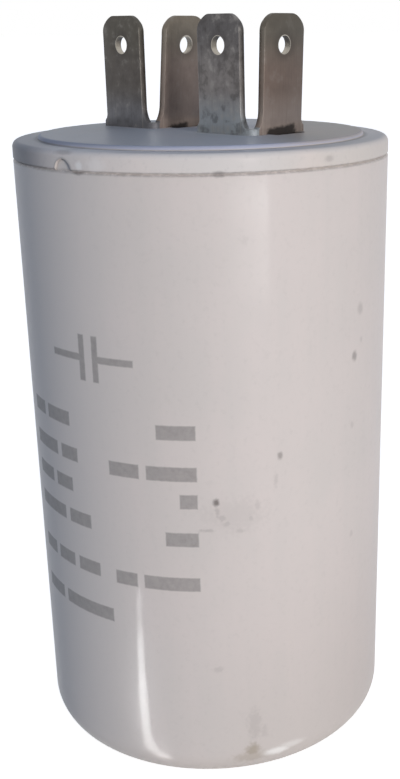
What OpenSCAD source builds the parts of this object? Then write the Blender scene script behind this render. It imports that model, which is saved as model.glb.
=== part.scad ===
// Motor capacitor: a film roll potted in a moulded can, with two folded double-blade terminals.
// Millimetres, +Z up. The origin is the centre of the base, on the can's axis.
// X runs along the row of the two terminals.

/* [Can] */
// Outside diameter at the rim
can_d = 42; // [40:0.5:55]
// Height from the base to the rim
can_h = 69.2; // [54:0.2:100]
// Thickness of the can's wall
can_wall = 1.6; // [1:0.1:2.4]
// Thickness of the can's floor
can_floor = 2; // [1:0.1:4]
// Draft of the wall: how far the radius shrinks from the rim to the base
can_draft = 0.4; // [0.1:0.05:0.8]
// Radius of the rounded bottom edge, outside
base_round = 4; // [2:0.1:6]
// Radius of the rounded bottom edge, inside
bore_round = 2.2; // [1:0.1:4]
// Chamfer above and below the seam between can and lid
seam_chamfer = 0.2; // [0.1:0.05:0.4]

/* [Lid] */
// Height of the flange band that sits on the can's rim
flange_h = 2; // [1.4:0.1:4]
// Rounding of the flange's upper edge
flange_round = 0.7; // [0.3:0.1:1]
// Diameter of the raised middle
plateau_d = 36.4; // [31:0.1:38]
// Height of the raised middle above the flange
plateau_h = 0.45; // [0.3:0.05:1.5]
// Rounding of the raised middle's edge
plateau_round = 0.15; // [0.05:0.05:0.25]
// Depth of the collar that plugs into the can
collar_h = 5; // [3:0.5:6]
// Thickness of the collar
collar_wall = 1.4; // [0.8:0.1:2]
// Gap between the collar and the can's bore
collar_clearance = 0.1; // [0.05:0.05:0.3]
// Radius of the half-round gate recess in the flange
gate_r = 1.2; // [0.6:0.1:1.3]
// Depth of the gate recess
gate_depth = 0.3; // [0.1:0.05:0.6]
// Angle of the gate recess around the flange, from the -Y side
gate_turn = 4; // [0:1:90]

/* [Terminals] */
// Distance between the two terminals
terminal_pitch = 15.7; // [15:0.1:18]
// Distance of each fold's corner from its terminal's place in the row, along X
fold_x = 1.35; // [1:0.05:2.5]
// Distance of each fold's corner in front of the axis
fold_front = 1.5; // [1:0.05:2.2]
// Width of a blade
blade_w = 6.3; // [4.8:0.1:6.5]
// Thickness of the sheet
blade_t = 0.8; // [0.5:0.1:1]
// Height of the blade tips above the lid
blade_h = 12.45; // [9:0.05:16]
// Chamfer of the tip's corners
tip_chamfer = 1.2; // [0.8:0.1:1.5]
// Rounding where the chamfers end
tip_round = 0.8; // [0.2:0.1:0.8]
// Depth of the lead-in bevel on each face of the tip
bevel_depth = 0.2; // [0.1:0.05:0.2]
// Length of the lead-in bevel
bevel_length = 0.7; // [0.3:0.1:1.2]
// Diameter of the detent hole
detent_d = 1.9; // [1.2:0.1:2.2]
// Distance of the detent hole's centre from the tip
detent_from_tip = 3.2; // [2.6:0.1:4]
// Angle that the strip is folded through between its blades
fold_angle = 90; // [80:1:95]
// Inside radius of the fold
fold_r = 0.3; // [0.2:0.05:0.4]
// Distance from the fold's corner to each blade's edge
blade_gap = 1.3; // [1.2:0.05:1.6]
// Height of the web that joins the blades at the fold
web_h = 0.65; // [0.5:0.05:2]
// Radius of the flare on a blade's inner edge
flare_r = 3; // [1:0.1:4]
// Width of the flare on a blade's outer edge
shoulder_w = 0.4; // [0.3:0.05:0.8]
// Radius of the flare on a blade's outer edge
shoulder_r = 1; // [0.9:0.1:3]
// Lean of the left terminal's second blade, away from its first
left_lean = 6; // [1:0.5:8]
// Lean of the right terminal's second blade, away from its first
right_lean = 2.5; // [1:0.5:8]
// How far the strip is staked through below the lid
stake_h = 0.8; // [0.4:0.1:1.5]
// Width of the solder tail
tail_w = 3; // [2:0.1:4]
// Length of the solder tail below the lid
tail_h = 7; // [6.5:0.1:8.5]
// Width of the moulding window in the lid beside the second blade
window_w = 1.2; // [0.6:0.1:1.6]
// Length of the moulding window
window_l = 4.6; // [3:0.1:4.8]

/* [Film roll and resin] */
// Resin between the floor and the roll
resin_under = 3.2; // [2.8:0.1:6]
// Resin between the roll and its own surface
resin_over = 8.8; // [7:0.1:12]
// Thickness of resin around the roll
resin_jacket = 2.5; // [1:0.1:4]
// Thickness of the sprayed contact layers
contact_t = 0.6; // [0.3:0.1:1.2]
// Outside diameter of the core tube
core_d = 8; // [7:0.5:12]
// Bore of the core tube
core_bore = 5; // [4.6:0.1:6]

/* [Leads] */
// Diameter of the insulated lead
lead_d = 1.8; // [1.2:0.1:2]
// Bend radius of the lead, on its centre line
lead_bend = 1.8; // [1.4:0.1:1.9]
// Gap that the solder fills between a lead and what it is soldered to
solder_gap = 0.3; // [0.2:0.05:0.5]
// Thickness of solder around a lead
solder_t = 0.6; // [0.5:0.1:0.8]
// Length of a soldered joint
solder_l = 3; // [2:0.1:3.5]

/* [Hidden] */
$fn = 96;
fold_steps = 12;
overlap = 0.3;

plastic_white = [0.86, 0.85, 0.83];
tinned_metal = [0.50, 0.48, 0.45];
sprayed_zinc = [0.62, 0.63, 0.65];
clear_film = [0.78, 0.80, 0.84];
core_plastic = [0.92, 0.90, 0.82];
lead_black = [0.12, 0.12, 0.13];
lead_red = [0.62, 0.10, 0.08];
resin_dark = [0.20, 0.19, 0.18];

draft_slope = can_draft / can_h;
lid_top = can_h + flange_h + plateau_h;
lid_plate = flange_h + plateau_h;
collar_r = bore_r(can_h - collar_h) - collar_clearance;

sheet_half = blade_t / 2;
blade_mid = blade_gap + blade_w / 2;
strip_end = blade_gap + blade_w + shoulder_w;
bend_r = fold_r + sheet_half;
setback = bend_r * tan(fold_angle / 2);
inner_flare = blade_gap - setback;
fold_y = -fold_front;
strip_bottom = -lid_plate - stake_h;

roll_bottom = can_floor + resin_under;
resin_top = can_h - collar_h;
roll_top = resin_top - resin_over;
roll_r = bore_r(roll_bottom) - resin_jacket;

tail_x = terminal_pitch / 2 + fold_x - blade_mid;
left_tail_x = fold_x - terminal_pitch / 2 - blade_mid;
tail_face_y = fold_y + sheet_half;
tail_bottom = can_h - tail_h;
lead_y = tail_face_y + solder_gap + lead_d / 2;
lead_turn = min(lead_bend, tail_x / 2);
lead_run_z = roll_top + lead_turn + solder_gap;
lead_under_z = roll_bottom - solder_gap - lead_d / 2;

// Radius of the can's outer wall at a height
function can_r(z) = can_d / 2 - can_draft + z * draft_slope;

// Lean of the second blade of one terminal: side is -1 for left, 1 for right
function lean_of(side) = side < 0 ? left_lean : right_lean;

// Radius of the can's bore at a height
function bore_r(z) = can_r(z) - can_wall;

// Points of an arc about a centre
function arc(centre, r, from, to) = [
    for (i = [0 : fold_steps])
        let (a = from + (to - from) * i / fold_steps)
        centre + r * [cos(a), sin(a)]
];

// Half section of a drafted round block with a rounded bottom edge
module drafted_section(r_bottom, h, round) {
    lean = atan(draft_slope);
    round_x = r_bottom + round * draft_slope - round / cos(lean);
    polygon([
        [0, 0],
        [round_x, 0],
        [round_x + round * cos(lean), round - round * sin(lean)],
        [r_bottom + h * draft_slope, h],
        [0, h],
    ]);
    translate([round_x, round])
        circle(round);
}

// Half section of a disc with a rounded upper edge
module disc_section(r, h, round) {
    polygon([[0, 0], [r, 0], [r, h - round], [r - round, h], [0, h]]);
    translate([r - round, h - round])
        circle(round);
}

// Half section of the wedge that chamfers the rim at the seam
module seam_section() {
    r = can_d / 2;
    c = seam_chamfer;
    polygon([[r - c, can_h], [r + c, can_h + 2 * c], [r + c, can_h - 2 * c]]);
}

module can() {
    color(plastic_white)
        rotate_extrude()
            difference() {
                drafted_section(can_r(0), can_h, base_round);
                translate([0, can_floor])
                    drafted_section(bore_r(can_floor), can_h, bore_round);
                seam_section();
            }
}

// Half section of the collar, with a lead-in at its lower edge
module collar_section() {
    lead_in = collar_wall / 3;
    inner = collar_r - collar_wall;
    bottom = can_h - collar_h;
    polygon([
        [inner, bottom],
        [collar_r - lead_in, bottom],
        [collar_r, bottom + lead_in],
        [collar_r, can_h + flange_h / 2],
        [inner, can_h + flange_h / 2],
    ]);
}

module lid_body() {
    rotate_extrude()
        difference() {
            union() {
                translate([0, can_h])
                    disc_section(can_d / 2, flange_h, flange_round);
                translate([0, can_h])
                    disc_section(plateau_d / 2, lid_plate, plateau_round);
                collar_section();
            }
            seam_section();
        }
}

// Half-round scar of the moulding gate, at the foot of the flange
module gate_recess() {
    rotate([0, 0, gate_turn])
        translate([0, gate_depth - can_d / 2, can_h])
            rotate([90, 0, 0])
                cylinder(r = gate_r, h = can_d);
}

// Opening beside the second blade's outer face
module moulding_window() {
    rotate([0, 0, fold_angle])
        translate([blade_mid - window_l / 2, -sheet_half - window_w, -lid_plate - overlap])
            cube([window_l, window_w + sheet_half, lid_plate + 2 * overlap]);
}

module lid() {
    color(plastic_white)
        difference() {
            lid_body();
            gate_recess();
            for (side = [-1, 1])
                at_terminal(side) {
                    terminal(lean_of(side));
                    moulding_window();
                }
        }
}

// Puts its children at one terminal's fold, on the lid's top face: side is -1 for left, 1 for right
module at_terminal(side) {
    translate([side * terminal_pitch / 2 + fold_x, fold_y, lid_top])
        children();
}

// Plan of the folded strip: first leg along -X, fold at the origin, second leg at the fold angle
module strip_plan() {
    along = [cos(fold_angle), sin(fold_angle)];
    across = [sin(fold_angle), -cos(fold_angle)];
    centre = [-setback, bend_r];
    polygon(concat(
        [[-strip_end, -sheet_half]],
        arc(centre, fold_r + blade_t, -90, fold_angle - 90),
        [strip_end * along + sheet_half * across, strip_end * along - sheet_half * across],
        arc(centre, fold_r, fold_angle - 90, -90),
        [[-strip_end, sheet_half]]
    ));
}

// One concave flare beside a blade's edge, growing towards -X from the edge at x = 0
module foot_flare(width, r) {
    height = sqrt(r * r - pow(r - width, 2));
    difference() {
        translate([-width, -overlap])
            square([width + overlap, height + overlap]);
        translate([-r, height])
            circle(r);
    }
}

// Face of a blade with its foot, from the fold outwards along X and up along Y
module blade_outline() {
    bite = tip_round * tan(22.5);
    slant = bite / sqrt(2);
    difference() {
        union() {
            translate([blade_mid, 0]) {
                for (side = [-1, 1]) {
                    x = blade_w / 2;
                    y = blade_h;
                    c = tip_chamfer;
                    polygon([
                        [0, web_h - overlap],
                        [side * x, web_h - overlap],
                        [side * x, y - c - bite],
                        [side * (x - slant), y - c + slant],
                        [side * (x - c + slant), y - slant],
                        [side * (x - c - bite), y],
                        [0, y],
                    ]);
                    translate([side * (x - tip_round), y - c - bite])
                        circle(tip_round);
                    translate([side * (x - c - bite), y - tip_round])
                        circle(tip_round);
                }
            }
            translate([blade_gap, web_h])
                foot_flare(inner_flare, flare_r);
            translate([blade_gap + blade_w, web_h])
                mirror([1, 0])
                    foot_flare(shoulder_w, shoulder_r);
        }
        translate([blade_mid, blade_h - detent_from_tip])
            circle(d = detent_d);
    }
}

// Wedges that bevel both faces of a blade's tip
module tip_bevels() {
    for (side = [0, 1])
        mirror([0, side, 0])
            translate([0, sheet_half, blade_h])
                rotate([90, 0, 90])
                    linear_extrude(strip_end)
                        polygon([
                            [bevel_depth, -2 * bevel_length],
                            [bevel_depth, bevel_length],
                            [-2 * bevel_depth, bevel_length],
                        ]);
}

// One upright blade, standing along X from the fold
module blade() {
    difference() {
        rotate([90, 0, 0])
            linear_extrude(blade_t, center = true)
                blade_outline();
        tip_bevels();
    }
}

// The second blade leans from the top of the web
module leaning_blade(lean) {
    difference() {
        translate([0, 0, web_h])
            rotate([lean, 0, 0])
                translate([0, 0, -web_h])
                    blade();
        translate([0, sheet_half, 0])
            cube([strip_end, blade_t, web_h]);
    }
}

module solder_tail() {
    translate([-blade_mid - tail_w / 2, -sheet_half, -lid_plate - tail_h])
        cube([tail_w, blade_t, tail_h + lid_plate]);
}

// A strip folded once, with two blades up and a solder tail down
module terminal(lean) {
    translate([0, 0, strip_bottom])
        linear_extrude(web_h - strip_bottom)
            strip_plan();
    mirror([1, 0, 0])
        blade();
    rotate([0, 0, fold_angle])
        leaning_blade(lean);
    solder_tail();
}

module left_terminal() {
    color(tinned_metal)
        at_terminal(-1)
            terminal(lean_of(-1));
}

module right_terminal() {
    color(tinned_metal)
        at_terminal(1)
            terminal(lean_of(1));
}

// A ring about the axis between two radii and two heights
module ring(r_in, r_out, bottom, top) {
    translate([0, 0, bottom])
        rotate_extrude()
            translate([r_in, 0])
                square([r_out - r_in, top - bottom]);
}

module film_winding() {
    color(clear_film)
        ring(core_d / 2, roll_r, roll_bottom + contact_t, roll_top - contact_t);
}

module winding_core() {
    color(core_plastic)
        ring(core_bore / 2, core_d / 2, roll_bottom, roll_top);
}

module top_contact() {
    color(sprayed_zinc)
        ring(core_d / 2, roll_r, roll_top - contact_t, roll_top);
}

module bottom_contact() {
    color(sprayed_zinc)
        ring(core_d / 2, roll_r, roll_bottom, roll_bottom + contact_t);
}

// Upright length of lead, at an x in the plane of the leads
module upright_lead(x, bottom, top) {
    translate([x, lead_y, bottom])
        cylinder(d = lead_d, h = top - bottom);
}

// Level length of lead
module level_lead(from, to, z) {
    translate([from, lead_y, z])
        rotate([0, 90, 0])
            cylinder(d = lead_d, h = to - from);
}

// Quarter bend of lead about a centre, from an angle in the plane of the leads
module lead_elbow(x, z, turn) {
    translate([x, lead_y, z])
        rotate([90, 0, 0])
            rotate([0, 0, turn])
                rotate_extrude(angle = 90)
                    translate([lead_turn, 0])
                        circle(d = lead_d);
}

// Solder that laps a lead to the inner face of a tail
module tail_solder(x) {
    difference() {
        translate([x, lead_y, tail_bottom - overlap])
            cylinder(d = lead_d + 2 * solder_t, h = solder_l + overlap);
        translate([x - tail_w, tail_face_y - tail_w, tail_bottom - 2 * overlap])
            cube([2 * tail_w, tail_w, solder_l + 4 * overlap]);
    }
}

module left_lead() {
    color(lead_red) {
        upright_lead(left_tail_x, roll_top, tail_bottom + solder_l + overlap);
        tail_solder(left_tail_x);
        translate([left_tail_x, lead_y, roll_top])
            cylinder(d = lead_d + 4 * solder_t, h = solder_t);
    }
}

module right_lead() {
    end_x = roll_r / 2;
    color(lead_black) {
        level_lead(lead_turn, end_x, lead_under_z);
        lead_elbow(lead_turn, lead_under_z + lead_turn, 180);
        upright_lead(0, lead_under_z + lead_turn, lead_run_z - lead_turn);
        lead_elbow(lead_turn, lead_run_z - lead_turn, 90);
        level_lead(lead_turn, tail_x - lead_turn, lead_run_z);
        lead_elbow(tail_x - lead_turn, lead_run_z + lead_turn, 270);
        upright_lead(tail_x, lead_run_z + lead_turn, tail_bottom + solder_l + overlap);
        tail_solder(tail_x);
        translate([end_x - solder_l, lead_y, roll_bottom - lead_d - solder_gap])
            linear_extrude(lead_d + solder_gap)
                translate([0, -lead_d / 2 - solder_t])
                    square([solder_l, lead_d + 2 * solder_t]);
    }
}

// The resin fills the bore up to the collar, around everything that it holds
module potting_resin() {
    color(resin_dark)
        difference() {
            rotate_extrude()
                translate([0, can_floor])
                    drafted_section(bore_r(can_floor), resin_top - can_floor, bore_round);
            ring(core_bore / 2, roll_r, roll_bottom, roll_top);
            left_lead();
            right_lead();
            left_terminal();
            right_terminal();
        }
}

can();
lid();
left_terminal();
right_terminal();
film_winding();
winding_core();
top_contact();
bottom_contact();
left_lead();
right_lead();
potting_resin();
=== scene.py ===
"""Looks of a motor capacitor: a moulded can and lid with two folded double-blade terminals."""

import math

import bmesh
import bpy
from mathutils import Matrix, Vector


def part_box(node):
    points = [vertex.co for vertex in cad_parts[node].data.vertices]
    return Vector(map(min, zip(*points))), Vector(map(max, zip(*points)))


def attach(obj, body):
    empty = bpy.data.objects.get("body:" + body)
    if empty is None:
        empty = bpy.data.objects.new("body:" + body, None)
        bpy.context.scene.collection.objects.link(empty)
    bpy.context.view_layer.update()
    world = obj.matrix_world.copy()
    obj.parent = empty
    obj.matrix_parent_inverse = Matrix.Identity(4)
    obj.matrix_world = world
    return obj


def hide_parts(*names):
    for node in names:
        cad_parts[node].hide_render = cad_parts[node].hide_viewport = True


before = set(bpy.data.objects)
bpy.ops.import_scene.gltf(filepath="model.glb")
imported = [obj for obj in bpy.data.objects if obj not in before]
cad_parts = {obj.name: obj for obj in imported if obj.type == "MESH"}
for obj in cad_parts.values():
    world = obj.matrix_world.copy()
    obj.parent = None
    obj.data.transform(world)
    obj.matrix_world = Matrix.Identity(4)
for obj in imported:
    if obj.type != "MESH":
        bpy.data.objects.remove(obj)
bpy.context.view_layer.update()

MM = 0.001
TINY = 0.001 * MM
NEAR = 0.01 * MM
UP = Vector((0, 0, 1))

# Camera, worked out from the outlines of the can, the lid and the blades in a picture of this size
IMAGE_W = 400
IMAGE_H = 779
FOCAL_PX = 1125.1
MIDDLE_X = 278.4
SENSOR = 36
CAMERA_AZIMUTH = math.radians(45.71)
CAMERA_DISTANCE = 130.26 * MM
CAMERA_HEIGHT = 82.34 * MM
CAMERA_PITCH = math.radians(17.702)
CAMERA_YAW = math.radians(3.692)
CAMERA_ROLL = math.radians(-0.532)
RIGHTWARD = Vector((math.cos(CAMERA_AZIMUTH), math.sin(CAMERA_AZIMUTH), 0))
AWAY = UP.cross(RIGHTWARD)
EYE = UP * CAMERA_HEIGHT - AWAY * CAMERA_DISTANCE

# Can and lid
LID_LOW, LID_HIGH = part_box("lid")
RIM_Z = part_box("can")[1].z
LID_TOP = LID_HIGH.z
COLLAR_BOTTOM = LID_LOW.z
CAN_R = LID_HIGH.x
CAN_DRAFT = 0.4 * MM
CAN_WALL = 1.6 * MM
CAN_FLOOR = 2 * MM
BASE_ROUND = 4 * MM
BORE_ROUND = 2.2 * MM
SEAM_CHAMFER = 0.2 * MM
FLANGE_TOP = RIM_Z + 2 * MM
FLANGE_ROUND = 0.7 * MM
PLATEAU_R = 18.2 * MM
PLATEAU_ROUND = 0.38 * MM
PLATEAU_FOOT = 0.06 * MM
TOP_FACE_R = PLATEAU_R - 3 * PLATEAU_ROUND
COLLAR_R = 19.27 * MM
COLLAR_WALL = 1.4 * MM
COLLAR_LEAD_IN = 0.47 * MM
GATE_R = 1.2 * MM
GATE_DEPTH = 0.3 * MM
GATE_TURN = math.radians(4)
TURN_STEPS = 192
WALL_RINGS = 24
BORE_RINGS = 6
BASE_STEPS = 16
BORE_STEPS = 10
ROUND_STEPS = 8
FOOT_STEPS = 4
HOLE_SIDES = 48
CREASE = math.radians(30)

# Terminals, measured from the corner of the fold on the lid's top face
PITCH = 15.7 * MM
FOLD_X = 1.35 * MM
FOLD_Y = -1.5 * MM
BLADE_W = 6.3 * MM
BLADE_T = 0.8 * MM
BLADE_H = 12.45 * MM
BLADE_GAP = 1.3 * MM
BLADE_MID = BLADE_GAP + BLADE_W / 2
SHOULDER = 0.4 * MM
STRIP_END = BLADE_GAP + BLADE_W + SHOULDER
FOLD = math.radians(90)
FOLD_STEPS = 10
BEND_R = 0.3 * MM + BLADE_T / 2
SETBACK = BEND_R * math.tan(FOLD / 2)
WEB_H = 0.65 * MM
FLARE_R = 3 * MM
SHOULDER_R = 1 * MM
FLARE_STEPS = 12
LEANS = (math.radians(6), math.radians(2.5))
TIP_CHAMFER = 1.2 * MM
TIP_TURN = math.radians(45)
TIP_ROUND = 1.3 * MM
BEVEL_DEPTH = 0.2 * MM
BEVEL_LENGTH = 0.7 * MM
DETENT_R = 0.95 * MM
DETENT_FROM_TIP = 3.2 * MM
STRIP_BOTTOM = RIM_Z - 0.8 * MM - LID_TOP
TAIL_W = 3 * MM
TAIL_BOTTOM = RIM_Z - 7 * MM - LID_TOP
EDGE_BREAK = 0.06 * MM
BREAK_ANGLE = math.radians(40)
SLOT_GAP = 0.06 * MM
WINDOW_W = 1.2 * MM
WINDOW_L = 4.6 * MM
WINDOW_ROUND = 0.3 * MM
CORNER_STEPS = 4
TOOL_REACH = 4
FIRST = Vector((-1, 0, 0))
SECOND = Vector((math.cos(FOLD), math.sin(FOLD), 0))
SECOND_SIDE = Vector((math.sin(FOLD), -math.cos(FOLD), 0))
CORNERS = [Vector((side * PITCH / 2 + FOLD_X, FOLD_Y, LID_TOP)) for side in (-1, 1)]


def deselect():
    """Leaves no object selected."""
    bpy.ops.object.select_all(action="DESELECT")


def pick(piece):
    """Selects one piece alone and makes it the active one."""
    deselect()
    piece.select_set(True)
    bpy.context.view_layer.objects.active = piece


def begin(name, primitive, place=None, scale=(1, 1, 1), **options):
    """Adds a primitive, sets its place and size into its mesh and opens it for editing."""
    deselect()
    primitive(**options)
    piece = bpy.context.object
    piece.name = name
    piece.data.name = name
    if place is not None:
        piece.matrix_world = place
    piece.scale = scale
    bpy.ops.object.transform_apply(location=True, rotation=True, scale=True)
    bpy.ops.object.mode_set(mode="EDIT")
    bpy.ops.mesh.select_mode(type="VERT")
    bpy.ops.mesh.select_all(action="SELECT")
    return piece


def close():
    """Ends the editing of a mesh."""
    bpy.ops.object.mode_set(mode="OBJECT")


def middle(item):
    """Centre of a vertex, an edge or a face."""
    if isinstance(item, bmesh.types.BMVert):
        return item.co
    return sum((v.co for v in item.verts), Vector()) / len(item.verts)


def select(piece, kind, test):
    """Selects the vertices, edges or faces whose centre passes a test."""
    bpy.ops.mesh.select_mode(type=kind)
    bpy.ops.mesh.select_all(action="DESELECT")
    mesh = bmesh.from_edit_mesh(piece.data)
    items = {"VERT": mesh.verts, "EDGE": mesh.edges, "FACE": mesh.faces}[kind]
    for item in items:
        if test(middle(item)):
            item.select_set(True)
    mesh.select_flush_mode()
    bmesh.update_edit_mesh(piece.data)


def extrude(move):
    """Draws what is selected out along a vector."""
    bpy.ops.mesh.extrude_region_move(TRANSFORM_OT_translate={"value": move})


def modify(piece, kind, **settings):
    """Adds a modifier with its settings and applies it."""
    pick(piece)
    modifier = piece.modifiers.new(kind.lower(), kind)
    for key, value in settings.items():
        setattr(modifier, key, value)
    bpy.ops.object.modifier_apply(modifier=modifier.name)


def cut(piece, tool):
    """Takes one shape out of another and deletes the tool."""
    modify(piece, "BOOLEAN", operation="DIFFERENCE", solver="EXACT", object=tool)
    bpy.data.objects.remove(tool)


def smooth(piece):
    """Shades a piece smooth and keeps its sharper edges crisp."""
    pick(piece)
    bpy.ops.object.shade_smooth_by_angle(angle=CREASE)


def shift(piece, move):
    """Moves a piece and sets its new place into its mesh."""
    pick(piece)
    piece.location = move
    bpy.ops.object.transform_apply(location=True, rotation=True, scale=True)


def arc(r, z, radius, start, end, steps):
    """Points of an arc in the half section, about a centre, from one angle in degrees to another."""
    angles = [math.radians(start + (end - start) * i / steps) for i in range(steps + 1)]
    return [(r + radius * math.cos(a), z + radius * math.sin(a)) for a in angles]


def line(start, end, steps):
    """Points of a straight stretch of the half section."""
    shares = [i / steps for i in range(1, steps + 1)]
    return [(start[0] + (end[0] - start[0]) * s, start[1] + (end[1] - start[1]) * s) for s in shares]


def lathe(name, section):
    """Spins a half section of (radius, height) points about the axis and closes its two ends."""
    start = Vector((section[0][0], 0, section[0][1]))
    piece = begin(name, bpy.ops.mesh.primitive_plane_add, size=MM, location=start)
    bpy.ops.mesh.merge(type="CENTER")
    for here, there in zip(section, section[1:]):
        extrude((there[0] - here[0], 0, there[1] - here[1]))
    bpy.ops.mesh.select_all(action="SELECT")
    bpy.ops.mesh.spin(steps=TURN_STEPS, angle=math.tau, center=(0, 0, 0), axis=(0, 0, 1))
    bpy.ops.mesh.select_all(action="SELECT")
    bpy.ops.mesh.remove_doubles(threshold=TINY)
    for r, z in (section[0], section[-1]):
        select(piece, "EDGE", lambda at: abs(at.z - z) < TINY and abs(at.xy.length - r) < NEAR)
        bpy.ops.mesh.edge_face_add()
    bpy.ops.mesh.select_all(action="SELECT")
    bpy.ops.mesh.normals_make_consistent(inside=False)
    close()
    return piece


def wall_r(z):
    """Radius of the can's drafted wall at a height."""
    return CAN_R - CAN_DRAFT * (1 - z / RIM_Z)


def make_can():
    """Cup with a drafted wall, a rounded bottom edge and a chamfered rim."""
    flat_r = wall_r(BASE_ROUND) - BASE_ROUND
    bore_flat = wall_r(CAN_FLOOR) - CAN_WALL - BORE_ROUND
    chamfer_z = RIM_Z - SEAM_CHAMFER
    section = arc(flat_r, BASE_ROUND, BASE_ROUND, -90, 0, BASE_STEPS)
    section += line(section[-1], (wall_r(chamfer_z), chamfer_z), WALL_RINGS)
    section += [(CAN_R - SEAM_CHAMFER, RIM_Z), (CAN_R - CAN_WALL, RIM_Z)]
    bore = arc(bore_flat, CAN_FLOOR + BORE_ROUND, BORE_ROUND, 0, -90, BORE_STEPS)
    section += line(section[-1], bore[0], BORE_RINGS) + bore[1:]
    can = lathe("moulded_can", section)
    smooth(can)
    return can


def make_lid():
    """Flanged lid with a raised middle, a collar, slots for the terminals and two moulding windows."""
    collar_in = COLLAR_R - COLLAR_WALL
    section = [
        (collar_in, RIM_Z),
        (collar_in, COLLAR_BOTTOM),
        (COLLAR_R - COLLAR_LEAD_IN, COLLAR_BOTTOM),
        (COLLAR_R, COLLAR_BOTTOM + COLLAR_LEAD_IN),
        (COLLAR_R, RIM_Z),
        (CAN_R - SEAM_CHAMFER, RIM_Z),
        (CAN_R, RIM_Z + SEAM_CHAMFER),
    ]
    section += arc(CAN_R - FLANGE_ROUND, FLANGE_TOP - FLANGE_ROUND, FLANGE_ROUND, 0, 90, ROUND_STEPS)
    foot_r = PLATEAU_R + PLATEAU_FOOT
    edge_r = PLATEAU_R - PLATEAU_ROUND
    section += arc(foot_r, FLANGE_TOP + PLATEAU_FOOT, PLATEAU_FOOT, 270, 180, FOOT_STEPS)
    section += arc(edge_r, LID_TOP - PLATEAU_ROUND, PLATEAU_ROUND, 0, 90, ROUND_STEPS)
    section += [(TOP_FACE_R, LID_TOP)]
    lid = lathe("flanged_lid", section)
    for corner in CORNERS:
        slot = strip_sheet("slot", STRIP_END + SLOT_GAP, 2 * STRIP_BOTTOM, WEB_H)
        close()
        modify(slot, "SOLIDIFY", thickness=BLADE_T + 2 * SLOT_GAP, offset=0)
        shift(slot, corner)
        cut(lid, slot)
        window = make_window()
        shift(window, corner)
        cut(lid, window)
    gate_length = CAN_R
    gate = begin(
        "gate",
        bpy.ops.mesh.primitive_cylinder_add,
        vertices=HOLE_SIDES,
        radius=GATE_R,
        depth=gate_length,
        place=Matrix.Rotation(GATE_TURN, 4, "Z")
        @ Matrix.Translation((0, GATE_DEPTH - CAN_R - gate_length / 2, RIM_Z))
        @ Matrix.Rotation(math.pi / 2, 4, "X"),
    )
    close()
    cut(lid, gate)
    smooth(lid)
    return lid


def make_window():
    """Tool for the opening in the lid beside a second blade's outer face."""
    depth = LID_TOP - COLLAR_BOTTOM
    at = SECOND * BLADE_MID + SECOND_SIDE * (BLADE_T + WINDOW_W) / 2
    place = Matrix.Translation(at) @ Matrix.Rotation(FOLD, 4, "Z")
    size = (WINDOW_L, WINDOW_W + BLADE_T / 2, depth)
    window = begin("window", bpy.ops.mesh.primitive_cube_add, place=place, scale=size, size=1)
    select(window, "EDGE", lambda edge: abs(edge.z) < TINY)
    bpy.ops.mesh.bevel(offset=WINDOW_ROUND, segments=CORNER_STEPS)
    close()
    return window


def strip_sheet(name, end, bottom, top):
    """A folded sheet, open for editing: a first leg along -X to the fold, then a second leg."""
    length = end - SETBACK
    strip = begin(
        name,
        bpy.ops.mesh.primitive_plane_add,
        place=Matrix.Translation((-SETBACK - length / 2, 0, (bottom + top) / 2))
        @ Matrix.Rotation(math.pi / 2, 4, "X"),
        scale=(length, top - bottom, 1),
        size=1,
    )
    select(strip, "EDGE", lambda at: abs(at.x + SETBACK) < TINY)
    bpy.ops.mesh.spin(steps=FOLD_STEPS, angle=FOLD, center=(-SETBACK, BEND_R, 0), axis=(0, 0, -1))
    extrude(SECOND * length)
    return strip


def flare_height(width, radius):
    """Height of a concave flare of a given width and radius."""
    return math.sqrt(radius**2 - (radius - width) ** 2)


def flare(width, radius, height):
    """How far a blade's foot stands out at a height above the web, on a concave arc."""
    return radius - math.sqrt(radius**2 - max(0, flare_height(width, radius) - height) ** 2)


def draw_blade(strip, along, up):
    """Draws a blade up out of a leg's upper edge, with a flared foot and a chamfered, rounded tip."""
    foot = UP * WEB_H
    across = along.cross(up)
    inner = BLADE_GAP - SETBACK
    flare_top = flare_height(inner, FLARE_R)
    heights = [flare_top * i / FLARE_STEPS for i in range(FLARE_STEPS + 1)]
    sides = ((inner, FLARE_R, BLADE_GAP, -1), (SHOULDER, SHOULDER_R, BLADE_GAP + BLADE_W, 1))

    def row(height, low, high):
        def on_row(at):
            h = (at - foot).dot(up)
            s = (at - foot).dot(along)
            flat = abs((at - foot).dot(across)) < TINY
            return flat and abs(h - height) < TINY and low - TINY < s < high + TINY
        return on_row

    select(strip, "EDGE", row(0, SETBACK + TINY, STRIP_END))
    for here, there in zip(heights, heights[1:]):
        extrude(up * (there - here))
        for width, radius, edge, turn in sides:
            was, now = flare(width, radius, here), flare(width, radius, there)
            at = edge + turn * was
            select(strip, "VERT", row(there, at, at))
            bpy.ops.transform.translate(value=along * turn * (now - was))
        select(strip, "EDGE", row(there, 0, STRIP_END))
    tip = BLADE_H - WEB_H
    extrude(up * (tip - heights[-1]))
    for edge in (BLADE_GAP, BLADE_GAP + BLADE_W):
        select(strip, "VERT", row(tip, edge, edge))
        bpy.ops.mesh.bevel(affect="VERTICES", offset=TIP_CHAMFER, segments=1)
    bite = TIP_ROUND * math.tan(TIP_TURN / 2)
    for edge, turn in ((BLADE_GAP, 1), (BLADE_GAP + BLADE_W, -1)):
        for height, at in ((tip, edge + turn * TIP_CHAMFER), (tip - TIP_CHAMFER, edge)):
            select(strip, "VERT", row(height, at, at))
            bpy.ops.mesh.bevel(affect="VERTICES", offset=bite, segments=CORNER_STEPS)


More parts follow.
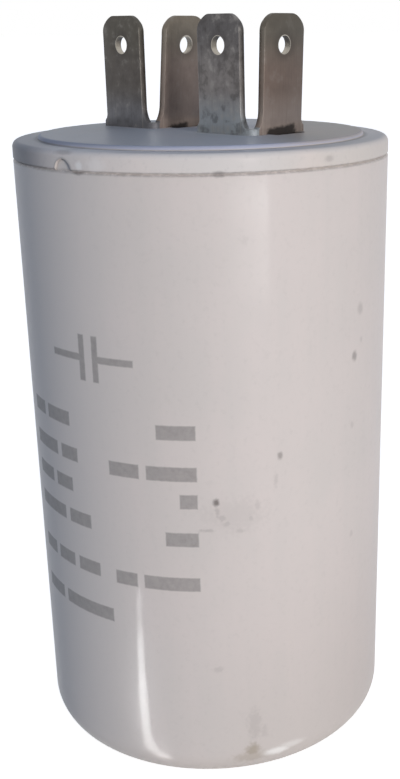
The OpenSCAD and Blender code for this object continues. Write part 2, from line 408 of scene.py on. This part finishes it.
def tip_tools(along, up):
    """Tools for one blade: its detent hole and the lead-in bevels on both faces of its tip."""
    side = along.cross(up)
    foot = UP * WEB_H - up * WEB_H
    hole_at = foot + along * BLADE_MID + up * (BLADE_H - DETENT_FROM_TIP)
    place = Matrix.Translation(hole_at) @ side.to_track_quat("Z", "Y").to_matrix().to_4x4()
    tools = [
        begin(
            "detent",
            bpy.ops.mesh.primitive_cylinder_add,
            place=place,
            vertices=HOLE_SIDES,
            radius=DETENT_R,
            depth=TOOL_REACH * BLADE_T,
        )
    ]
    close()
    for face in (-1, 1):
        out = (side * face * BEVEL_LENGTH + up * BEVEL_DEPTH).normalized()
        climb = (up * BEVEL_LENGTH - side * face * BEVEL_DEPTH).normalized()
        at = foot + along * BLADE_MID + up * (BLADE_H - BEVEL_LENGTH) + side * face * BLADE_T / 2
        axes = Matrix((out.cross(climb), out, climb)).transposed().to_4x4()
        place = Matrix.Translation(at + out * BLADE_T / 2) @ axes
        size = (BLADE_W + BLADE_T, BLADE_T, TOOL_REACH * BEVEL_LENGTH)
        tools.append(begin("bevel", bpy.ops.mesh.primitive_cube_add, place=place, scale=size, size=1))
        close()
    return tools


def make_terminal(name, corner, lean):
    """A strip of sheet metal folded once, with two blades up and a solder tail down."""
    second_up = UP * math.cos(lean) + SECOND_SIDE * math.sin(lean)
    strip = strip_sheet(name, STRIP_END, STRIP_BOTTOM, WEB_H)
    for side in (-1, 1):
        select(strip, "FACE", lambda at: abs(at.y) < TINY and at.x < -SETBACK)
        at = (-BLADE_MID + side * TAIL_W / 2, 0, 0)
        bpy.ops.mesh.bisect(plane_co=at, plane_no=(1, 0, 0))
    select(strip, "EDGE", lambda at: abs(at.x + BLADE_MID) < TINY and abs(at.z - STRIP_BOTTOM) < TINY)
    extrude((0, 0, TAIL_BOTTOM - STRIP_BOTTOM))
    draw_blade(strip, FIRST, UP)
    draw_blade(strip, SECOND, second_up)
    bpy.ops.mesh.select_all(action="SELECT")
    bpy.ops.mesh.normals_make_consistent(inside=False)
    close()
    modify(strip, "SOLIDIFY", thickness=BLADE_T, offset=0, use_even_offset=True)
    modify(strip, "BEVEL", width=EDGE_BREAK, segments=2, limit_method="ANGLE", angle_limit=BREAK_ANGLE)
    for along, up in ((FIRST, UP), (SECOND, second_up)):
        for tool in tip_tools(along, up):
            cut(strip, tool)
    smooth(strip)
    shift(strip, corner)
    return strip


can = make_can()
lid = make_lid()
left_terminal = make_terminal("left_folded_blades", CORNERS[0], LEANS[0])
right_terminal = make_terminal("right_folded_blades", CORNERS[1], LEANS[1])


class Wire:
    """A socket of a shader. Sums on it add Math nodes, and add() adds any other node."""

    def __init__(self, tree, socket=None):
        self.tree = tree
        self.socket = socket

    def add(self, kind, settings=(), sockets=(), out=0):
        """Adds a node: its settings first, then the values or links of its sockets."""
        node = self.tree.nodes.new("ShaderNode" + kind)
        for key, value in dict(settings).items():
            setattr(node, key, value)
        for key, value in dict(sockets).items():
            if isinstance(value, Wire):
                self.tree.links.new(value.socket, node.inputs[key])
            else:
                node.inputs[key].default_value = value
        return Wire(self.tree, node.outputs[out] if node.outputs else None)

    def math(self, operation, *values):
        """Adds a Math node."""
        return self.add("Math", {"operation": operation}, dict(enumerate(values)))

    def __add__(self, other):
        return self.math("ADD", self, other)

    def __sub__(self, other):
        return self.math("SUBTRACT", self, other)

    def __mul__(self, other):
        return self.math("MULTIPLY", self, other)

    def __abs__(self):
        return self.math("ABSOLUTE", self)

    __radd__ = __add__
    __rmul__ = __mul__


def srgb(red, green, blue):
    """A colour from its screen values, 0 to 255."""
    shares = [value / 255 for value in (red, green, blue)]
    return tuple(s / 12.92 if s <= 0.04045 else ((s + 0.055) / 1.055) ** 2.4 for s in shares) + (1,)


def most(first, *others):
    """Largest of several values."""
    for other in others:
        first = first.math("MAXIMUM", first, other)
    return first


def least(first, *others):
    """Smallest of several values."""
    for other in others:
        first = first.math("MINIMUM", first, other)
    return first


def slant(first, second):
    """Length of the sloping side of a right triangle."""
    return first.math("SQRT", first * first + second * second)


def fade(value, low, high):
    """Smooth step from 0 at low to 1 at high; low may be the larger."""
    sockets = {"Value": value, "From Min": low, "From Max": high}
    return value.add("MapRange", {"interpolation_type": "SMOOTHSTEP"}, sockets)


def blend(mask, first, second):
    """Mixes two colours by a mask."""
    return mask.add("Mix", {"data_type": "RGBA"}, {0: mask, 6: first, 7: second}, out=2)


def noise(at, scale, detail=2, roughness=0.5):
    """Noise at a place in millimetres."""
    sockets = {"Vector": at, "Scale": scale, "Detail": detail, "Roughness": roughness}
    return at.add("TexNoise", (), sockets)


def split(at):
    """The three parts of a vector."""
    node = at.add("SeparateXYZ", (), {0: at}).socket.node
    return [Wire(at.tree, output) for output in node.outputs]


def join(x, y, z):
    """A vector from three values, of which the first is a wire."""
    return x.add("CombineXYZ", (), {0: x, 1: y, 2: z})


def open_material(name):
    """A material with no nodes yet, and the place on the piece in millimetres."""
    material = bpy.data.materials.new(name)
    material.use_nodes = True
    material.node_tree.nodes.clear()
    place = Wire(material.node_tree).add("TexCoord", out="Object")
    return material, place.add("VectorMath", {"operation": "SCALE"}, {0: place, "Scale": 1 / MM})


def close_material(at, sockets, height, depth, strength):
    """Ends a material with its shader and a bump of a depth in millimetres."""
    bump = at.add("Bump", (), {"Height": height, "Distance": depth * MM, "Strength": strength})
    shader = at.add("BsdfPrincipled", (), {**sockets, "Normal": bump})
    at.add("OutputMaterial", (), {"Surface": shader})


# Print on the can: rows of bars as (height, widths from the margin on), in millimetres
PRINT_RIGHT = math.radians(-48.6)
PRINT_LEFT = math.radians(-114.1)
PRINT_ROWS_RIGHT = (
    (42.8, (4.2,)),
    (38.2, (5.5, 3.6)),
    (35.1, (1.9,)),
    (30.7, (3.6,)),
    (25.4, (6.3, 2.7)),
)
PRINT_ROWS_LEFT = (
    (42.6, (3.2, 4.4)),
    (38.6, (5.7, 2.9)),
    (34.9, (4.2, 3.2)),
    (31.1, (6.5, 3.6)),
    (25.6, (3.4, 3.4, 3.4)),
    (20.4, (4.6, 8.0)),
)
BAR_H = 1.6
BAR_GAP = 0.85
PRINT_SOFT = 0.1
SYMBOL_TURN = math.radians(-81)
SYMBOL_Z = 50
SYMBOL_STROKE = 0.75
SYMBOL_PLATE_AT = 0.9
SYMBOL_PLATE_H = 5
SYMBOL_WIRE_AT = 3.2
SYMBOL_WIRE_L = 4.6
# Scale of the upright flow lines in the can's plastic
FLOW_ACROSS = 0.43
FLOW_ALONG = 0.03
# Marks on the can's wall: angle in degrees, height, width and tallness in millimetres, strength
SPECKS = (
    (-43.3, 35.0, 0.70, 0.95, 0.7),
    (-23.9, 39.6, 0.65, 0.95, 0.45),
    (5.0, 48.6, 0.95, 1.20, 0.45),
    (7.9, 53.7, 1.20, 1.40, 0.2),
    (-40.1, 69.1, 1.10, 0.50, 0.35),
    (-80.4, 69.1, 1.30, 0.50, 0.45),
)
SMEARS = (
    (-25.3, 36.9, 0.55, 1.60, 0.14),
    (-30.9, 34.3, 0.90, 1.10, 0.15),
    (-33.1, 32.9, 0.65, 0.75, 0.18),
    (-36.4, 31.6, 1.10, 0.60, 0.18),
    (-42.9, 33.9, 0.70, 1.20, 0.26),
    (-41.7, 33.2, 0.90, 0.80, 0.24),
    (-40.0, 32.5, 1.20, 0.60, 0.20),
    (-46.0, 31.8, 1.90, 0.50, 0.24),
    (-38.0, 33.4, 7.00, 4.00, 0.08),
    (-43.9, 14.9, 1.60, 0.75, 0.14),
    (-33.0, 7.4, 1.70, 4.20, 0.14),
    (-29.8, 6.2, 0.90, 1.60, 0.12),
    (-33.5, 62.7, 0.80, 0.90, 0.08),
    (4.3, 40.8, 0.70, 0.80, 0.14),
    (4.9, 27.5, 0.60, 0.90, 0.14),
    (8.6, 50.2, 0.70, 0.80, 0.14),
)
STAINS = ((-33.7, 4.0, 1.90, 1.90, 0.5), (-34.2, 3.1, 4.40, 1.60, 0.3))
# Painted glints on the rounded bottom edge, given in the same way
PAINTED_GLINTS = ((-25.6, 3.2, 3.40, 1.10, 0.85), (-20.5, 3.6, 3.40, 0.90, 0.4))
# Marks on the lid's edge, given in the same way
LID_FLAKES = ((-79.6, 69.8, 1.0, 0.9, 0.7), (-74.0, 70.0, 2.2, 1.4, 0.35))
LID_SMUDGES = (
    (-7.3, 70.1, 1.3, 0.7, 0.25),
    (-40.1, 69.35, 1.2, 0.45, 0.4),
    (-86.0, 71.0, 2.6, 0.5, 0.3),
)
# Colours of the plastic, of what lies on it, and of painted light and shade on it
CAN_WHITE = srgb(218, 208, 202), srgb(213, 205, 199)
CAN_GRAIN = srgb(176, 170, 164)
CAN_LOW_AND_EDGE_SHADE = srgb(164, 153, 146)
CAN_PAINTED_LIGHT = srgb(220, 214, 209)
CAN_SCUFF = srgb(150, 140, 126)
CAN_SEAM_DIRT = srgb(120, 112, 106)
INK = srgb(122, 118, 116)
SMUDGE = srgb(110, 100, 98)
SPECK = srgb(74, 64, 60)
STAIN = srgb(140, 124, 96)
GLINT_WHITE = srgb(244, 241, 236)
LID_WHITE = srgb(224, 215, 209), srgb(218, 212, 207)
LID_STEP_FOOT_SHADE = srgb(110, 106, 104)
LID_SEAM_DIRT = srgb(116, 108, 102)
LID_GRAIN = srgb(160, 156, 154)
LID_TOP_SHADE = srgb(165, 173, 178)
LID_SHOULDER_SHADE = srgb(166, 171, 190)
LID_RIGHT_WARM_REFLECTION = srgb(180, 158, 130)
LID_SHADE = srgb(128, 130, 134)
LID_SCAR = srgb(104, 100, 98)
LID_FLAKE = srgb(240, 238, 235)
RESIDUE = srgb(52, 48, 46)


def bar(along, up, centre, height, width, tall):
    """How far a point lies outside an upright bar, in millimetres."""
    return most(abs(along - centre) - width / 2, abs(up - height) - tall / 2)


def print_mask(turn, z, edge):
    """Mask of the print: two blocks of bars and the plain circuit symbol of a capacitor."""
    radius = CAN_R / MM
    right = (turn - PRINT_RIGHT) * radius
    left = (turn - PRINT_LEFT) * radius
    bars = []
    for block, rows, way in ((right, PRINT_ROWS_RIGHT, -1), (left, PRINT_ROWS_LEFT, 1)):
        for height, widths in rows:
            start = 0
            for width in widths:
                bars.append(bar(block, z, way * (start + width / 2), height, width, BAR_H))
                start += width + BAR_GAP
    symbol = (turn - SYMBOL_TURN) * radius
    for side in (-1, 1):
        bars.append(bar(symbol, z, side * SYMBOL_PLATE_AT, SYMBOL_Z, SYMBOL_STROKE, SYMBOL_PLATE_H))
        bars.append(bar(symbol, z, side * SYMBOL_WIRE_AT, SYMBOL_Z, SYMBOL_WIRE_L, SYMBOL_STROKE))
    return fade(least(*bars) + edge, PRINT_SOFT, -PRINT_SOFT)


def spots(turn, z, marks, wobble):
    """Mask of soft round marks and painted glints on the wall, with ragged edges."""
    radius = CAN_R / MM
    masks = []
    for degrees, height, width, length, strength in marks:
        across = (turn - math.radians(degrees)) * (2 * radius / width)
        up = (z - height) * (2 / length)
        masks.append(fade(slant(across, up) + wobble, 1.4, 0.3) * strength)
    return most(*masks)


def can_plastic():
    """White moulded plastic with grey print, handling marks, dirt in the seam, painted light on its
    shaded left, painted shade towards its right edge and painted glints on its bottom edge; darker
    towards the bottom.
    """
    material, at = open_material("white_can_plastic")
    x, y, z = split(at)
    turn = x.math("ARCTAN2", y, x)
    broad = noise(at, 0.07, 3)
    fine = noise(at, 1.6, 4, 0.6)
    flow = noise(join(x * FLOW_ACROSS, y * FLOW_ACROSS, z * FLOW_ALONG), 1.0, 3)
    ragged = (noise(at, 2.2, 3) - 0.5) * 1.6
    tone = fade(broad * 0.7 + flow * 0.3, 0.35, 0.65)
    colour = blend(tone, *CAN_WHITE)
    colour = blend(fade(fine, 0.5, 0.8) * 0.12, colour, CAN_GRAIN)
    low = fade(z, 36, 4)
    # Darker towards the bottom on the front and right, and painted shade towards the right edge.
    low_darkening_and_edge_shade = low * fade(turn, -1.1, -0.4) * 0.2 + (0.05 + 0.12 * low) * fade(turn, -0.5, 0.4)
    colour = blend(low_darkening_and_edge_shade * fade(turn, 2.6, 1.0), colour, CAN_LOW_AND_EDGE_SHADE)
    # Painted light: the left side, which lies in shade, is made lighter.
    painted_light_left = fade(turn, -1.0, -1.7) * fade(turn, -2.9, -2.5)
    colour = blend(painted_light_left * 0.8, colour, CAN_PAINTED_LIGHT)
    scuffed = fade(z, 2.6, 0.4) * fade(fine, 0.35, 0.6)
    colour = blend(scuffed * 0.35, colour, CAN_SCUFF)
    rim = RIM_Z / MM
    seam = fade(z, rim - 0.35, rim - 0.05)
    colour = blend(seam * fade(fine, 0.2, 0.62) * 0.45, colour, CAN_SEAM_DIRT)
    ink = print_mask(turn, z, ragged * 0.06)
    colour = blend(ink * (0.44 + 0.3 * fine), colour, INK)
    colour = blend(spots(turn, z, SMEARS, ragged * 1.2), colour, SMUDGE)
    colour = blend(spots(turn, z, SPECKS, ragged * 0.5), colour, SPECK)
    colour = blend(spots(turn, z, STAINS, ragged * 0.7), colour, STAIN)
    # Painted glints on the bottom edge.
    colour = blend(spots(turn, z, PAINTED_GLINTS, ragged * 0.4), colour, GLINT_WHITE)
    sockets = {
        "Base Color": colour,
        "Roughness": 0.36 + 0.14 * fine + 0.1 * ink,
        "Specular IOR Level": 0.1,
        "Coat Weight": 0.028,
        "Coat IOR": 2.3,
        "Coat Roughness": 0.1,
    }
    close_material(at, sockets, height=fine * 0.4 + flow, depth=0.03, strength=0.25)
    return material


def beside(x, y, corner):
    """Place next to a second blade: how far along it from its middle, and how far out from its face."""
    along = x * SECOND.x + y * SECOND.y - (corner.dot(SECOND) + BLADE_MID) / MM
    out = x * SECOND_SIDE.x + y * SECOND_SIDE.y - (corner.dot(SECOND_SIDE) + BLADE_T / 2) / MM
    return along, out


def lid_plastic():
    """The lid's white plastic, with painted shade on its top, its left, its shoulder and at the foot of
    its raised middle, a painted warm reflection on its right, dirt in its seam, marks, and dark residue
    beside the second blades.
    """
    material, at = open_material("white_lid_plastic")
    x, y, z = split(at)
    turn = x.math("ARCTAN2", y, x)
    top = LID_TOP / MM
    rim = RIM_Z / MM
    plateau = PLATEAU_R / MM
    broad = noise(at, 0.12, 3)
    fine = noise(at, 1.8, 4, 0.6)
    reach = slant(x, y)
    colour = blend(fade(broad, 0.35, 0.65), *LID_WHITE)
    # Painted shade in the crease at the foot of the raised middle.
    step_foot_shade = fade(reach, plateau + 0.7, plateau + 0.1) * fade(z, top - 0.25, top - 0.4)
    colour = blend(step_foot_shade * 0.5, colour, LID_STEP_FOOT_SHADE)
    seam = fade(z, rim + 0.35, rim + 0.05)
    colour = blend(seam * fade(fine, 0.2, 0.62) * 0.3, colour, LID_SEAM_DIRT)
    colour = blend(fade(fine, 0.52, 0.78) * 0.15, colour, LID_GRAIN)
    flat = fade(z, top - 0.3, top - 0.1)
    # Painted shade: the top face is made darker and bluer.
    colour = blend(flat * 0.3, colour, LID_TOP_SHADE)
    # Painted shade: the rounded edge of the raised middle is made darker and cooler.
    shoulder_shade = fade(reach, plateau - 0.45, plateau - 0.25) * fade(z, top - 0.42, top - 0.3)
    colour = blend(shoulder_shade * 0.85, colour, LID_SHOULDER_SHADE)
    side = x * RIGHTWARD.x + y * RIGHTWARD.y + broad * 3
    # Painted warm reflection on the right side, stronger on the top face.
    colour = blend(fade(side, 6, 14) * (0.15 + 0.35 * flat), colour, LID_RIGHT_WARM_REFLECTION)
    colour = blend(fade(side, 1, -10) * flat * 0.35, colour, LID_SHADE)
    shade = fade(turn + broad * 0.3, -1.35, -1.75) * fade(turn, -2.9, -2.5)
    colour = blend(shade * fade(z, top - 0.2, top - 0.5) * 0.6, colour, LID_SHADE)
    scar = slant((turn - GATE_TURN + math.pi / 2) * (CAN_R / MM), z - rim)
    colour = blend(fade(abs(scar - GATE_R / MM), 0.28, 0.05) * 0.22, colour, LID_SCAR)
    colour = blend(spots(turn, z, LID_FLAKES, fine - 0.5), colour, LID_FLAKE)
    colour = blend(spots(turn, z, LID_SMUDGES, fine - 0.5), colour, SMUDGE)
    ragged = (fine - 0.5) * 1.4
    for corner in CORNERS:
        along, out = beside(x, y, corner)
        patch = fade(abs(along - 0.2) + ragged, 2.7, 2.1) * fade(out + ragged * 0.8, 1.5, 0.9)
        colour = blend(patch * fade(out, -0.9, -0.6) * 0.85, colour, RESIDUE)
    sockets = {
        "Base Color": colour,
        "Roughness": 0.34 + 0.16 * fine,
        "Specular IOR Level": 0.02,
        "Coat Weight": 0.04,
        "Coat Roughness": 0.2,
    }
    close_material(at, sockets, height=fine, depth=0.03, strength=0.25)
    return material


# Colours on the tin plating
TIN_DARK = srgb(50, 47, 46)
TIN_PALE = srgb(150, 147, 144)
TIN_LINE = srgb(60, 56, 54)
TIN_WORN = srgb(176, 170, 160)
SOOT = srgb(40, 37, 37)


def tinned_metal(name, corner, along, tip, body, foot, clouds, residue=None):
    """Dull tin plating on one blade: tones from tip to foot that are partly tarnish and partly painted
    reflection, clouds, rolling lines, worn edges, black residue at its foot.
    """
    material, at = open_material(name)
    x, y, z = split(at)
    up = z - LID_TOP / MM
    across = x * along.x + y * along.y - (corner.dot(along) + BLADE_MID) / MM
    half = BLADE_W / MM / 2
    cloud = noise(at, 0.75, 5, 0.6)
    grain = noise(join(x * 6, y * 6, z * 0.25), 1.0, 3)
    # The tones from tip to foot are partly tarnish and partly painted reflection; the paler foot is a
    # painted reflection of the lid.
    colour = blend(fade(up, 11, 6), tip, body)
    colour = blend(fade(up, 5, 0.8), colour, foot)
    colour = blend(fade(cloud, 0.52, 0.34) * clouds, colour, TIN_DARK)
    colour = blend(fade(cloud, 0.52, 0.7) * clouds, colour, TIN_PALE)
    ring = slant(across, up - (BLADE_H - DETENT_FROM_TIP) / MM)
    colour = blend(fade(ring, 2.1, 1.0) * 0.3, colour, TIN_DARK)
    colour = blend(fade(grain, 0.5, 0.75) * 0.12, colour, TIN_LINE)
    hole_edge = fade(ring, DETENT_R / MM + 0.1, DETENT_R / MM)
    blade_edge = fade(abs(abs(across) - half), 0.14, 0.02) * 0.12
    colour = blend(most(hole_edge, blade_edge), colour, TIN_WORN)
    if residue:
        centre, width, height = residue
        ragged = (noise(at, 1.3, 4, 0.6) - 0.5) * 1.6
        edge = fade(up + ragged * 0.4 - across * 0.06, height + 0.25, height - 0.2)
        soot = fade(abs(across - centre) + ragged, width / 2 + 0.4, width / 2 - 0.3) * edge
        colour = blend(soot * 0.9, colour, SOOT)
    sockets = {
        "Base Color": colour,
        "Metallic": 1.0,
        "Roughness": 0.32 + 0.16 * cloud + 0.1 * grain + 0.2 * fade(up, 1.4, 0.5),
    }
    close_material(at, sockets, height=grain + cloud * 0.6, depth=0.02, strength=0.3)
    return material


def speckled(name, base, other, scale, roughness, metallic=0.0):
    """A plain inner material in two mixed tones with a fine grain."""
    material, at = open_material(name)
    grain = noise(at, scale, 4, 0.6)
    colour = blend(fade(grain, 0.35, 0.68), base, other)
    sockets = {"Base Color": colour, "Roughness": roughness + 0.2 * grain, "Metallic": metallic}
    close_material(at, sockets, height=grain, depth=0.06, strength=0.4)
    return material


def wound_film():
    """Edge-wound metallised film: fine rings about the axis."""
    material, at = open_material("wound_film")
    x, y, z = split(at)
    reach = slant(x, y)
    rings = noise(join(reach * 7, z * 0.02, 0), 1.0, 2)
    colour = blend(fade(rings, 0.4, 0.62), srgb(196, 200, 208), srgb(226, 228, 232))
    sockets = {"Base Color": colour, "Roughness": 0.2 + 0.15 * rings, "Metallic": 0.6}
    close_material(at, sockets, height=rings, depth=0.02, strength=0.5)
    return material


def dress(piece, node, slot, *materials):
    """Gives a new piece its materials and its body, and hides the CAD node it replaces. The slot is not
    used.
    """
    for material in materials:
        piece.data.materials.append(material)
    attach(piece, "root")
    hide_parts(node)


dress(can, "can", "can_plastic", can_plastic())
dress(lid, "lid", "lid_plastic", lid_plastic())
LEFT, RIGHT = CORNERS
# Tin on each blade, partly tarnish and partly painted reflection: its tip, its body and its foot
LEFT_FIRST_TARNISH_AND_REFLECTION = srgb(82, 79, 74), srgb(82, 78, 75), srgb(100, 100, 104)
LEFT_SECOND_TARNISH_AND_REFLECTION = srgb(110, 103, 94), srgb(118, 106, 100), srgb(128, 116, 110)
RIGHT_FIRST_TARNISH_AND_REFLECTION = srgb(88, 86, 87), srgb(112, 108, 107), srgb(136, 141, 146)
RIGHT_SECOND_TARNISH_AND_REFLECTION = srgb(90, 85, 78), srgb(104, 91, 84), srgb(132, 121, 115)
dress(
    left_terminal,
    "left_terminal",
    "terminal_metal",
    tinned_metal("left_first_tin_tarnish_and_reflection", LEFT, FIRST, *LEFT_FIRST_TARNISH_AND_REFLECTION, clouds=0.25),
    tinned_metal("left_second_tin_tarnish_and_reflection", LEFT, SECOND, *LEFT_SECOND_TARNISH_AND_REFLECTION, clouds=0.12, residue=(-0.8, 2.6, 0.35)),
)
dress(
    right_terminal,
    "right_terminal",
    "terminal_metal",
    tinned_metal("right_first_tin_tarnish_and_reflection", RIGHT, FIRST, *RIGHT_FIRST_TARNISH_AND_REFLECTION, clouds=0.45),
    tinned_metal("right_second_tin_tarnish_and_reflection", RIGHT, SECOND, *RIGHT_SECOND_TARNISH_AND_REFLECTION, clouds=0.1, residue=(-0.3, 4.6, 0.75)),
)
for terminal, corner in zip((left_terminal, right_terminal), CORNERS):
    for face in terminal.data.polygons:
        face.material_index = int((face.center - corner).dot(SECOND) > BLADE_T)

INNER_FINISHES = {
    "film_winding": wound_film(),
    "winding_core": speckled("core_tube", srgb(240, 236, 222), srgb(230, 226, 210), 0.6, 0.45),
    "top_contact": speckled("sprayed_zinc", srgb(150, 152, 156), srgb(186, 188, 190), 3.0, 0.55, 0.9),
    "left_lead": speckled("red_sleeve", srgb(176, 42, 34), srgb(158, 36, 30), 0.8, 0.4),
    "right_lead": speckled("black_sleeve", srgb(46, 46, 48), srgb(36, 36, 38), 0.8, 0.4),
    "potting_resin": speckled("cast_resin", srgb(66, 62, 60), srgb(52, 50, 48), 0.4, 0.35),
}
INNER_FINISHES["bottom_contact"] = INNER_FINISHES["top_contact"]
for node, material in INNER_FINISHES.items():
    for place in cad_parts[node].material_slots:
        place.material = material


# Stage: light levels are shares of the level at which a colour renders as written
HORIZON_LEFT = (0.38, 0.39, 0.41, 1)
HORIZON_RIGHT = (0.54, 0.51, 0.49, 1)
ZENITH = (0.06, 0.15, 0.31, 1)
KEY_LEVEL = 0.71
KEY_TURN = math.radians(27)
KEY_RISE = math.radians(4.5)
KEY_ANGLE = math.radians(8)
KEY_COLOUR = (1.0, 0.97, 0.95)
FILL_LEVEL = 0.45
FILL_TURN = math.radians(-168)
FILL_RISE = math.radians(4)
FILL_ANGLE = math.radians(14)
FILL_COLOUR = (0.97, 0.98, 1.0)
# Streak low in the can's gloss: angle in degrees, height in millimetres, half width in degrees, level
LOW_STREAK = (
    (-67.9, 24.0, 0.75, 0.6),
    (-68.4, 18.5, 1.00, 1.8),
    (-68.7, 12.9, 1.35, 2.9),
    (-68.3, 9.0, 1.55, 2.6),
    (-67.9, 5.8, 1.35, 1.7),
    (-67.4, 4.6, 1.25, 1.7),
    (-64.2, 3.7, 1.60, 1.1),
    (-61.0, 3.0, 2.20, 1.0),
)
# Soft band under the rim: heights with their levels, and upright slices with their shares of the level
HIGH_STREAK = ((66.9, 1.2), (64.8, 0.6), (51.0, 0.2))
HIGH_SLICES = ((-36.5, 0.3), (-32.5, 0.6), (-28.5, 1.0))
SLICE_HALF = 2
# Lamps of the streaks: beam, share of the way from the can to the floor, overlap of neighbours
STREAK_BEAM = math.radians(40)
STREAK_REACH = 0.8
STREAK_OVERLAP = 1.05
FLOOR_SIZE = 40
FLOOR_GLOW = 0.9
FLOOR_GREY = (0.5, 0.5, 0.5, 1)
FLOOR_CLOUD = (0.485, 0.485, 0.485, 1)


def seen(at):
    """1 for what the camera, a reflection or glass shows of the stage, and 0 for the light it gives."""
    rays = at.add("LightPath").socket.node.outputs
    kinds = ("Is Camera Ray", "Is Glossy Ray", "Is Transmission Ray")
    return most(*[Wire(at.tree, rays[kind]) for kind in kinds])


def make_floor():
    """Pale floor that shows white and keeps the object's shadow."""
    floor = begin("floor", bpy.ops.mesh.primitive_plane_add, size=FLOOR_SIZE)
    bpy.ops.mesh.subdivide(number_cuts=3)
    close()
    material, at = open_material("pale_floor")
    grey = blend(noise(at, 0.02), FLOOR_GREY, FLOOR_CLOUD)
    matt = at.add("BsdfDiffuse", (), {"Color": grey})
    glow = at.add("Emission", (), {"Color": (1, 1, 1, 1), "Strength": seen(at) * FLOOR_GLOW})
    at.add("OutputMaterial", (), {"Surface": at.add("AddShader", (), {0: matt, 1: glow})})
    floor.data.materials.append(material)


def make_world():
    """White where it is seen, and elsewhere a soft light, cooler and weaker from above."""
    world = bpy.data.worlds.new("studio")
    bpy.context.scene.world = world
    world.use_nodes = True
    world.node_tree.nodes.clear()
    at = Wire(world.node_tree)
    x, y, z = split(at.add("TexCoord", out="Generated"))
    horizon = blend(fade(x * RIGHTWARD.x + y * RIGHTWARD.y, -1, 1), HORIZON_LEFT, HORIZON_RIGHT)
    ambient = at.add("Background", (), {"Color": blend(most(z, 0), horizon, ZENITH), "Strength": 1})
    white = at.add("Background", (), {"Color": (1, 1, 1, 1), "Strength": 1})
    shown = at.add("MixShader", (), {0: seen(at), 1: ambient, 2: white})
    at.add("OutputWorld", (), {"Surface": shown})


def make_sun(name, level, turn, rise, angle, colour, glare=True):
    """Soft parallel light, turned to the right of the camera's side and raised above the horizon."""
    lamp = bpy.data.lights.new(name, "SUN")
    lamp.energy = level * math.pi
    lamp.angle = angle
    lamp.color = colour
    light = bpy.data.objects.new(name, lamp)
    level_way = RIGHTWARD * math.sin(turn) - AWAY * math.cos(turn)
    towards = level_way * math.cos(rise) + UP * math.sin(rise)
    light.rotation_euler = towards.to_track_quat("Z", "Y").to_euler()
    light.visible_glossy = glare
    bpy.context.scene.collection.objects.link(light)


def mirrored(turn, height):
    """Place low over the floor that the can's outside mirrors to the camera, and the way to it."""
    dip = max(0, BASE_ROUND - height)
    reach = math.sqrt(BASE_ROUND**2 - dip**2)
    side = Vector((math.cos(turn), math.sin(turn), 0))
    at = side * (wall_r(max(height, BASE_ROUND)) - BASE_ROUND + reach) + UP * height
    way = (at - EYE).normalized().reflect((side * reach - UP * dip).normalized())
    return at + way * (STREAK_REACH * at.z / -way.z), way


def make_streak(points):
    """Row of low strip lamps that face the can and show only as a streak in its gloss."""
    ends = []
    for degrees, height, half, level in points:
        left, centre, right = [math.radians(degrees + side * half) for side in (-1, 0, 1)]
        at, way = mirrored(centre, height * MM)
        wide = mirrored(right, height * MM)[0] - mirrored(left, height * MM)[0]
        ends.append((at, way, (wide - way * wide.dot(way)).length, level))
    for (at0, way0, width0, level0), (at1, way1, width1, level1) in zip(ends, ends[1:]):
        way = (way0 + way1).normalized()
        along = (at1 - at0) - way * (at1 - at0).dot(way)
        lamp = bpy.data.lights.new("strip_light", "AREA")
        lamp.shape = "RECTANGLE"
        lamp.size = along.length * STREAK_OVERLAP
        lamp.size_y = (width0 + width1) / 2
        lamp.spread = STREAK_BEAM
        lamp.energy = (level0 + level1) / 2 * math.pi * lamp.size * lamp.size_y
        light = bpy.data.objects.new("strip_light", lamp)
        along.normalize()
        turned = Matrix((along, way.cross(along), way)).transposed().to_4x4()
        light.matrix_world = Matrix.Translation((at0 + at1) / 2) @ turned
        light.visible_camera = False
        light.visible_diffuse = False
        bpy.context.scene.collection.objects.link(light)


def make_camera():
    """Camera at the picture's viewing angle."""
    level = RIGHTWARD * math.sin(CAMERA_YAW) + AWAY * math.cos(CAMERA_YAW)
    forward = level * math.cos(CAMERA_PITCH) - UP * math.sin(CAMERA_PITCH)
    flat_right = RIGHTWARD * math.cos(CAMERA_YAW) - AWAY * math.sin(CAMERA_YAW)
    flat_up = flat_right.cross(forward)
    roll_right = flat_right * math.cos(CAMERA_ROLL) + flat_up * math.sin(CAMERA_ROLL)
    roll_up = flat_up * math.cos(CAMERA_ROLL) - flat_right * math.sin(CAMERA_ROLL)
    lens = bpy.data.cameras.new("camera")
    lens.sensor_width = SENSOR
    lens.lens = SENSOR * FOCAL_PX / max(IMAGE_W, IMAGE_H)
    lens.shift_x = (IMAGE_W / 2 - MIDDLE_X) / max(IMAGE_W, IMAGE_H)
    lens.clip_start = 1 * MM
    camera = bpy.data.objects.new("camera", lens)
    turned = Matrix((roll_right, roll_up, -forward)).transposed().to_4x4()
    camera.matrix_world = Matrix.Translation(EYE) @ turned
    bpy.context.scene.collection.objects.link(camera)
    bpy.context.scene.camera = camera


make_floor()
make_world()
make_sun("key_light", KEY_LEVEL, KEY_TURN, KEY_RISE, KEY_ANGLE, KEY_COLOUR)
make_sun("fill_light", FILL_LEVEL, FILL_TURN, FILL_RISE, FILL_ANGLE, FILL_COLOUR, glare=False)
make_streak(LOW_STREAK)
for degrees, share in HIGH_SLICES:
    make_streak([(degrees, height, SLICE_HALF, level * share) for height, level in HIGH_STREAK])
make_camera()
bpy.context.scene.view_settings.view_transform = "Standard"
